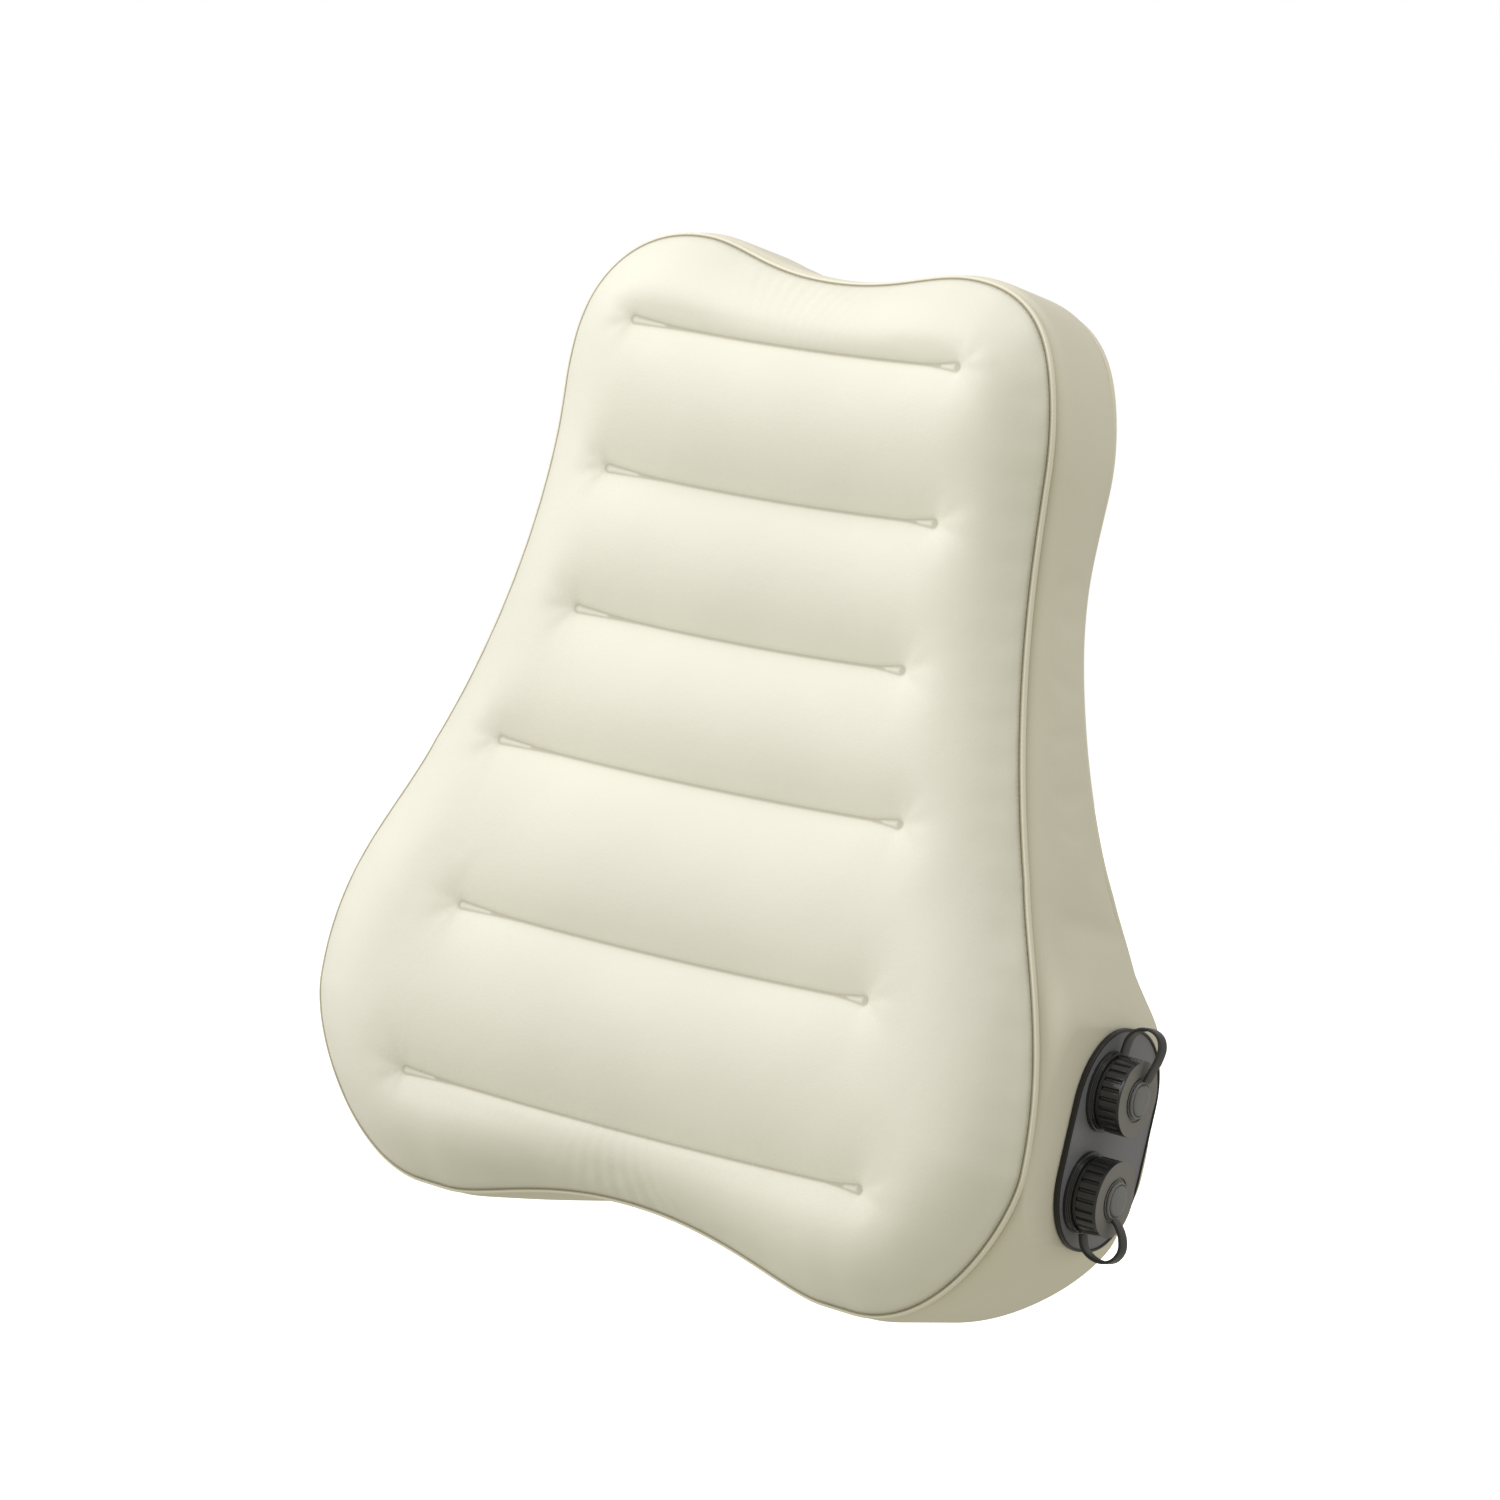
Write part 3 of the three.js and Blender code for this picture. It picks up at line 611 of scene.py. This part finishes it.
def ripples(x, z, edge):
    """Small puckers, in millimetres: at the weld ends, the dip and the notch, and along the seam."""
    amount = end_puckers(x, z)
    for height, pitch, shift in EDGE_PUCKERS:
        away = np.abs(z - height)
        fade = np.exp(-(x / 30) ** 2) * np.exp(-away / 13) * np.clip(edge / 2, 0, 1)
        bend = x * (1 + 0.02 * away) + shift
        amount += EDGE_PUCKER_HEIGHT * fade * np.cos(2 * math.pi * bend / pitch)
    fade = np.exp(-edge / 8) * np.clip(edge / 1.5, 0, 1)
    across = np.sin(x / 3.1 + 0.7 * np.sin(z / 17))
    upward = np.sin(z / 2.7 + 0.9 * np.sin(x / 13))
    return amount + SEAM_PUCKER_HEIGHT * fade * (across + upward)


def weld_floor(flat, slots, crown, weld_depth):
    """Each point's distance to the nearest weld, and the panel's height at that weld."""
    to_weld = np.full(len(flat), np.inf)
    floor = np.full(len(flat), float(crown))
    for weld, slot in zip(WELDS, slots):
        near = distance_to_ring(flat, slot)
        near[inside(flat, slot)] = 0
        share = np.clip(np.abs(flat[:, 0] - weld[2]) / weld[1], 0, 1)
        level = crown - weld_depth * (1 - WELD_END_RISE * share**6)
        closer = near < to_weld
        floor[closer] = level[closer]
        to_weld = np.minimum(to_weld, near)
    return to_weld, floor


def panel(name, side, crown, weld_depth, surface, pressure, cap):
    """A crowned panel: the cloth finds its shape between seam and welds, then small puckers."""
    slots = [weld_slot(weld) for weld in WELDS]
    loops = [SEAM, *[SEAM - SEAM_OUT * row for row in SEAM_ROWS], *slots]
    loops += [weld_slot(weld, grow) for grow in SLOT_GROWTH for weld in WELDS]
    middles = np.concatenate([paddle_middles(weld) for weld in WELDS])
    flat, faces = triangulate(loops, MESH_STEP, middles)
    edge = distance_to_ring(flat, SEAM)
    height = crown * (1 - (1 - np.clip(edge / CROWN_REACH, 0, 1)) ** CROWN_POWER)
    to_weld, floor = weld_floor(flat, slots, crown, weld_depth)
    rise = 1 - np.clip(1 - to_weld / WELD_REACH, 0, 1) ** WELD_POWER
    height = height * rise + np.minimum(height, floor) * (1 - rise)
    depths = surface(flat[:, 1]) + side * height
    points = [place(x, y, z) for (x, z), y in zip(flat, depths)]
    obj = new_object(name, points, faces, PANEL_LOOK)
    turn_outward(obj, Vector((0, side, 0)))
    held = (edge < SEAM_HOLD) | (to_weld < WELD_HOLD)
    inflate(obj, held, pressure, cap)
    # Painted shade along the weld creases and in the seam's groove.
    rim = np.min([distance_to_ring(flat, slot) for slot in slots], axis=0)
    weld_shade = WELD_SHADE[0] * np.exp(-rim / WELD_SHADE[1])
    write_crease_shade(obj, weld_shade + SEAM_SHADE[0] * np.exp(-edge / SEAM_SHADE[1]))
    subdivide(obj)
    apply_modifiers(obj)
    pucker(obj, side)
    solidify(obj)
    apply_modifiers(obj)
    return obj


def pucker(obj, side):
    """Adds the small ripples to a panel."""
    co = np.array([v.co for v in obj.data.vertices])
    x, z = (co[:, 0] - MIDDLE_X) / MM, (co[:, 2] - SEAM_Z) / MM
    edge = distance_to_ring(np.stack([x, z], 1), SEAM)
    co[:, 1] += side * ripples(x, z, edge) * MM
    obj.data.vertices.foreach_set("co", co.ravel())
    obj.data.update()


def turn_outward(obj, way):
    """Flips a sheet's faces if they don't look the way given."""
    total = sum((p.normal * p.area for p in obj.data.polygons), Vector())
    if total.dot(way) < 0:
        obj.data.flip_normals()


front = panel(
    "front_panel_skin", -1, FRONT_CROWN, WELD_DEPTH["front"], front_at, pressure=8, cap=6,
)
back = panel("back_panel_skin", 1, BACK_CROWN, WELD_DEPTH["back"], back_at, pressure=6, cap=5)


# ---- Side band and beads -----------------------------------------------------------------------
BAND_COLUMNS = 26
BAND_RISE = 0.17  # shares of the band's depth in which it swells from the seams to its belly
BAND_FALL = 0.14
BAND_POWER = 2.4
# How dark the painted shade on the band beside each bead is.
BAND_SHADE = 0.5


def band_profile(across):
    """Share of the way from the seam line to the belly line, by share of the band's depth."""
    rise = np.clip(across / BAND_RISE, 0, 1)
    fall = np.clip((1 - across) / BAND_FALL, 0, 1)
    return (1 - (1 - rise) ** BAND_POWER) * (1 - (1 - fall) ** BAND_POWER)


def side_band():
    """The band between the seams. It is held flat under the valve plate and on its feet."""
    across = (1 - np.cos(np.linspace(0, math.pi, BAND_COLUMNS))) / 2
    near = front_at(SEAM[:, 1]) + SEAM_BAND
    far = back_at(SEAM[:, 1]) - SEAM_BAND
    points = []
    held = []
    crease_shade = []
    plate_y = ((plate_low.y - SEAM_Y) / MM, (plate_high.y - SEAM_Y) / MM)
    plate_z = ((plate_low.z - SEAM_Z) / MM, (plate_high.z - SEAM_Z) / MM)
    for share in across:
        bulge = band_profile(share)
        for seam, belly, start, end in zip(SEAM, BELLY, near, far):
            x, z = seam + (belly - seam) * bulge
            y = start + (end - start) * share
            points.append(place(x, y, z))
            in_plate = plate_y[0] < y < plate_y[1] and plate_z[0] < z < plate_z[1]
            on_plate = x > BAND_FLAT_X - 1 and in_plate
            on_foot = z < -FOOT_BULGE + 0.4
            held.append(share in (across[0], across[-1]) or on_plate or on_foot)
            # Painted shade on the band, darkest next to the beads at its two edges.
            crease_shade.append(BAND_SHADE * math.exp(-min(y - start, end - y)))
    faces = loft_faces(BAND_COLUMNS, len(SEAM), closed=False)
    obj = new_object("side_band_skin", points, faces, BAND_LOOK)
    if obj.data.polygons[0].normal.z > 0:
        obj.data.flip_normals()
    inflate(obj, np.array(held), pressure=1.2, cap=3)
    write_crease_shade(obj, crease_shade)
    subdivide(obj)
    solidify(obj)
    apply_modifiers(obj)
    return obj


band = side_band()


BEAD_GAP = 0.3
BEAD_EDGE = 0.5
BEAD_SQUARENESS = 0.7
# How dark the painted shade in the grooves at the bead's roots is.
BEAD_SHADE = 0.8


def seam_bead(name, start):
    """The welded bead: a low rounded rib with a fine groove on each side."""
    width = SEAM_BAND - 2 * BEAD_GAP
    angles = np.linspace(0, math.pi, 11)
    swell = BEAD_REACH - BEAD_EDGE
    arch = [
        (BEAD_EDGE + swell * math.sin(a) ** BEAD_SQUARENESS, width / 2 * (1 - math.cos(a)))
        for a in angles
    ]
    section = [(-BEAD_ROOT, 0.0), *arch, (-BEAD_ROOT, width)]
    rings = []
    for seam, out in zip(SEAM, SEAM_OUT):
        for reach, along in section:
            x, z = seam + out * reach
            rings.append(place(x, start(seam[1]) + BEAD_GAP + along, z))
    obj = new_object(name, rings, loft_faces(len(SEAM), len(section)), BEAD_LOOK)
    last = len(section) - 1
    # Painted shade in the grooves along the bead's two roots.
    groove_shade = [BEAD_SHADE if s in (0, 1, last - 1, last) else 0.0 for s in range(last + 1)]
    write_crease_shade(obj, groove_shade * len(SEAM))
    point_outwards(obj)
    return obj


front_bead = seam_bead("front_bead_skin", front_at)
rear_bead = seam_bead("rear_bead_skin", lambda z: back_at(z) - SEAM_BAND)


# ---- Valves ------------------------------------------------------------------------------------
ROUND = 96
RIBS = 24
RIB_STEPS = 16  # facets in one rib
RIB_DEPTH = 1.1
RIB_ROOT = 14.6  # the grooves cut in outside this radius
RIB_FADE = 0.6
GROOVE_HALF = (0.12, 0.21)  # share of a rib's pitch: floor of the groove, and its lip
DISC_FOOT = (13.0, 13.5)  # the ribs run out between these heights, under the plain end disc
SOFT_STEPS = 4
RIM_WIDTH = 1.1
RIM_HEIGHT = 0.7
RIM_SOFTNESS = 0.35
PLATE_CORNER = 32
PLATE_CORNER_STEPS = 24


def soften(corners, radius):
    """A closed profile with every corner rounded."""
    corners = [np.array(c, float) for c in corners]
    out = []
    befores = [corners[-1], *corners]
    afters = [*corners[1:], corners[0]]
    for before, corner, after in zip(befores, corners, afters):
        ends = []
        for other in (before, after):
            length = np.linalg.norm(other - corner)
            ends.append(corner + (other - corner) * min(radius, length * 0.45) / max(length, 1e-9))
        for t in np.linspace(0, 1, SOFT_STEPS + 1):
            out.append(ends[0] * (1 - t) ** 2 + 2 * corner * t * (1 - t) + ends[1] * t**2)
    return out


def lathe(name, profile, axis, look, steps=ROUND, groove=None):
    """A closed profile (radius, height above the plate) turned round an axis along +X."""
    points = []
    for step in range(steps):
        angle = 2 * math.pi * step / steps
        for radius, height in profile:
            r = radius - (groove(angle, radius, height) if groove else 0)
            offset = Vector((height, r * math.cos(angle), r * math.sin(angle))) * MM
            points.append(axis + offset)
    obj = new_object(name, points, loft_faces(steps, len(profile)), look)
    point_outwards(obj)
    weigh_normals(obj)
    apply_modifiers(obj)
    return obj


def rib_groove(angle, radius, height):
    """How far the grip's grooves cut in at this angle."""
    if radius < RIB_ROOT or height > DISC_FOOT[1]:
        return 0.0
    share = abs((angle * RIBS / (2 * math.pi)) % 1 - 0.5)
    floor, lip = GROOVE_HALF
    t = min(1, max(0, (lip - share) / (lip - floor)))
    under_disc = min(1, (DISC_FOOT[1] - height) / (DISC_FOOT[1] - DISC_FOOT[0]))
    on_wall = min(1, (radius - RIB_ROOT) / RIB_FADE)
    return RIB_DEPTH * t * t * (3 - 2 * t) * on_wall * under_disc


def add_look(obj, look, wanted):
    """Gives the faces that pass a test a second material."""
    obj.data.materials.append(look)
    for face in obj.data.polygons:
        if wanted(face):
            face.material_index = 1


def finish_piece(obj, body, node_names):
    """Hangs a piece on its body, if it has one, and hides the CAD nodes it stands for."""
    if body:
        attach(obj, body)
    if node_names:
        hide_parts(*node_names)


STRAPS = {  # distance from the valve's axis, height above the plate
    "upper": [
        (8, 17), (12, 18.2), (17.5, 20), (23, 20.5), (27.3, 18.3), (29.1, 13.5), (27.7, 8.4),
        (23.5, 5), (16.95, 4),
    ],
    "lower": [
        (8, 17), (10.5, 19.6), (14.5, 22.1), (19.5, 23), (24, 20.6), (26, 15.8), (25.2, 10.5),
        (22.2, 6.2), (16.95, 4),
    ],
}
STRAP_STEPS = 9  # facets between two points of a strap
STRAP_TURN = 5  # the point of each strap where its two halves meet
STRAP_SOFTNESS = 0.45
STRAP_WIDTH = 6.5
STRAP_THICKNESS = 1.3


def strap_half(name, path, along, axis, way):
    """Half of a tether strap: a flat band with rounded edges along a path."""
    half_w, half_t = STRAP_WIDTH / 2, STRAP_THICKNESS / 2
    corners = [(-half_t, -half_w), (half_t, -half_w), (half_t, half_w), (-half_t, half_w)]
    section = soften(corners, STRAP_SOFTNESS)
    points = []
    for (r, s), (ar, as_) in zip(path, along):
        for across, wide in section:
            points.append(axis + Vector((s - ar * across, wide, way * (r + as_ * across))) * MM)
    count = len(section)
    faces = loft_faces(len(path), count, closed=False)
    obj = new_object(name, points, faces, STRAP_LOOK)
    point_outwards(obj)
    return obj


def tether_strap(side, way, axis):
    """The strap, built in two halves that meet at one of its points."""
    path = spline(STRAPS[side], steps=STRAP_STEPS)
    turn = STRAP_TURN * STRAP_STEPS
    along = np.gradient(path, axis=0)
    along /= np.linalg.norm(along, axis=1)[:, None]
    plug_half = strap_half(f"{side}_strap_outer", path[:turn + 1], along[:turn + 1], axis, way)
    ring_half = strap_half(f"{side}_strap_inner", path[turn:], along[turn:], axis, way)
    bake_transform(plug_half)
    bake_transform(ring_half)
    finish_piece(plug_half, None, (f"{side}_tether_strap",))
    finish_piece(ring_half, None, ())


# Closed profiles of the turned pieces: radius, height above the plate.
FLANGE = [(11.3, 0.0), (17.3, 0.0), (17.3, 1.7), (16.3, 1.9), (16.3, 3.05), (11.3, 3.05)]
COLLAR = [
    (12.9, 5.2), (16.25, 5.2), (16.25, DISC_FOOT[0]), (16.25, DISC_FOOT[1]), (16.25, 15.0),
    (9.6, 15.0), (9.6, 14.4), (8.6, 14.4), (8.6, 15.0), (5.2, 15.0), (5.2, 12.2), (12.9, 12.2),
]
PLUG = [
    (0, 9.3), (4.9, 9.3), (4.9, 15.35), (8.0, 15.35), (8.0, 16.35), (7.1, 16.45), (7.0, 15.9),
    (6.6, 15.9), (6.5, 16.9), (5.6, 17.3), (3.5, 17.52), (0, 17.6),
]
FLANGE_SOFTNESS = 0.35
COLLAR_SOFTNESS = 0.4
PLUG_SOFTNESS = 0.25
DISC_TOP = 14  # faces above this height that look outwards are the end disc


def valve(side, way):
    """One screw valve: flange, ribbed collar, plug and strap. The strap loops up or down."""
    low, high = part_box(f"{side}_valve_base")
    axis = Vector((plate_high.x, (low.y + high.y) / 2, (low.z + high.z) / 2))

    flange = lathe(f"{side}_flange", soften(FLANGE, FLANGE_SOFTNESS), axis, VALVE_LOOK)
    finish_piece(flange, "pillow", ())

    shell = soften(COLLAR, COLLAR_SOFTNESS)
    collar = lathe(f"{side}_collar_skin", shell, axis, VALVE_LOOK, RIBS * RIB_STEPS, rib_groove)
    disc_x = axis.x + DISC_TOP * MM
    add_look(collar, DISC_LOOK, lambda face: face.normal.x > 0.7 and face.center.x > disc_x)
    finish_piece(collar, f"{side}_collar", (f"{side}_ribbed_collar",))

    button = [PLUG[0], *soften(PLUG, PLUG_SOFTNESS)[SOFT_STEPS + 1:-SOFT_STEPS - 1], PLUG[-1]]
    plug = lathe(f"{side}_plug_skin", button, axis, PLUG_LOOK)
    finish_piece(plug, f"{side}_plug", (f"{side}_port_plug",))

    tether_strap(side, way, axis)


valve("upper", 1)
valve("lower", -1)


def plate_outline(inset):
    """The plate's edge, moved in by inset, as (y, z) in metres."""
    middle = (plate_low + plate_high) / 2
    half_y = (plate_high.y - plate_low.y) / 2 / MM - inset
    half_z = (plate_high.z - plate_low.z) / 2 / MM - inset
    corner = PLATE_CORNER - inset
    ring = []
    for quarter, (sy, sz) in enumerate(((1, 1), (-1, 1), (-1, -1), (1, -1))):
        for t in np.linspace(0, math.pi / 2, PLATE_CORNER_STEPS):
            a = t + quarter * math.pi / 2
            y = sy * (half_y - corner) + corner * math.cos(a)
            z = sz * (half_z - corner) + corner * math.sin(a)
            ring.append((middle.y + y * MM, middle.z + z * MM))
    return ring


def plate_rim():
    """The plate's raised lip."""
    top = (plate_high.x - plate_low.x) / MM + RIM_HEIGHT
    corners = [
        (-0.25, -0.1), (-0.25, top - 0.3), (0.2, top), (RIM_WIDTH - 0.3, top),
        (RIM_WIDTH, top - 0.8), (RIM_WIDTH, 0.4),
    ]
    section = soften(corners, RIM_SOFTNESS)
    rings = [
        [Vector((plate_low.x + height * MM, y, z)) for y, z in plate_outline(inset)]
        for inset, height in section
    ]
    points = [point for ring in rings for point in ring]
    obj = new_object("valve_plate_rim", points, loft_faces(len(rings), len(rings[0])), RIM_LOOK)
    point_outwards(obj)
    return obj


finish_piece(plate_rim(), "pillow", ())


# ---- Riding, and looks for the CAD nodes -------------------------------------------------------
for piece, node, slot_name in (
    (front, "front_panel", "panel_fabric"), (back, "back_panel", "panel_fabric"),
    (band, "side_band", "band_fabric"), (front_bead, "front_seam_bead", "bead_fabric"),
    (rear_bead, "rear_seam_bead", "bead_fabric"),
):
    finish_piece(piece, "pillow", (node,))

NODE_LOOKS = {
    "inner_web": WEB_LOOK, "valve_plate": PLATE_LOOK, "valve_base": VALVE_LOOK, "tether": STRAP_LOOK,
    "collar_seal": SEAL_LOOK, "ribbed_collar": VALVE_LOOK, "flap_seat": VALVE_LOOK,
    "check_flap": SEAL_LOOK, "port_plug": PLUG_LOOK,
}
for node_name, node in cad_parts.items():
    for part, look in NODE_LOOKS.items():
        if part in node_name:
            node.data.materials.clear()
            node.data.materials.append(look)


# ---- Floor, lights and world -------------------------------------------------------------------
FLOOR_SIZE = 40  # half the floor's side, in metres


def make_stage():
    """A white floor that only the camera sees, so that it doesn't light the pillow from below."""
    points = [(sx * FLOOR_SIZE, sy * FLOOR_SIZE, 0) for sx, sy in ((-1, -1), (1, -1), (1, 1), (-1, 1))]
    n = Nodes("floor")
    n.set(Base_Color=(0.9, 0.9, 0.9, 1), Roughness=0.9)
    n.set(Emission_Color=(1, 1, 1, 1), Emission_Strength=1.0)
    floor = new_object("floor", points, [(0, 1, 2, 3)], n.material)
    floor.visible_diffuse = False
    floor.visible_glossy = False


def area_light(name, azimuth, elevation, distance, size, power, colour=(1, 1, 1)):
    """A soft square light that looks at the pillow's middle. Azimuth 0 is in front of it."""
    data = bpy.data.lights.new(name, "AREA")
    data.size = size
    data.energy = power
    data.color = colour
    light = bpy.data.objects.new(name, data)
    a, e = math.radians(azimuth), math.radians(elevation)
    way = Vector((math.sin(a) * math.cos(e), -math.cos(a) * math.cos(e), math.sin(e)))
    light.location = AIM + way * distance
    light.rotation_euler = way.to_track_quat("Z", "Y").to_euler()
    scene.collection.objects.link(light)


SKY = (0.555, 0.548, 0.51, 1)
GROUND = (0.515, 0.502, 0.42, 1)


def make_world():
    """Soft light from all round, dimmer and warmer from below. The camera sees plain white."""
    world = bpy.data.worlds.new("world")
    world.use_nodes = True
    nodes, links = world.node_tree.nodes, world.node_tree.links
    where = nodes.new("ShaderNodeTexCoord")
    split = nodes.new("ShaderNodeSeparateXYZ")
    links.new(where.outputs["Generated"], split.inputs[0])
    level = nodes.new("ShaderNodeMapRange")
    level.inputs["From Min"].default_value = -0.7
    level.inputs["From Max"].default_value = 0.7
    links.new(split.outputs["Z"], level.inputs["Value"])
    tint = nodes.new("ShaderNodeMix")
    tint.data_type = "RGBA"
    tint.inputs[6].default_value = GROUND
    tint.inputs[7].default_value = SKY
    links.new(level.outputs["Result"], tint.inputs[0])
    seen = nodes.new("ShaderNodeLightPath")
    lit = nodes["Background"]
    links.new(tint.outputs[2], lit.inputs["Color"])
    shown = nodes.new("ShaderNodeBackground")
    shown.inputs["Color"].default_value = (1, 1, 1, 1)
    mix = nodes.new("ShaderNodeMixShader")
    links.new(seen.outputs["Is Camera Ray"], mix.inputs[0])
    links.new(lit.outputs[0], mix.inputs[1])
    links.new(shown.outputs[0], mix.inputs[2])
    links.new(mix.outputs[0], nodes["World Output"].inputs[0])
    scene.world = world


make_stage()
make_world()
area_light("key", -41, 23, 2.2, 1.3, 30.5, (1.0, 1.0, 1.06))
area_light("valve_glint", 48, 66, 1.2, 0.3, 2.4)
scene.view_settings.view_transform = "Standard"
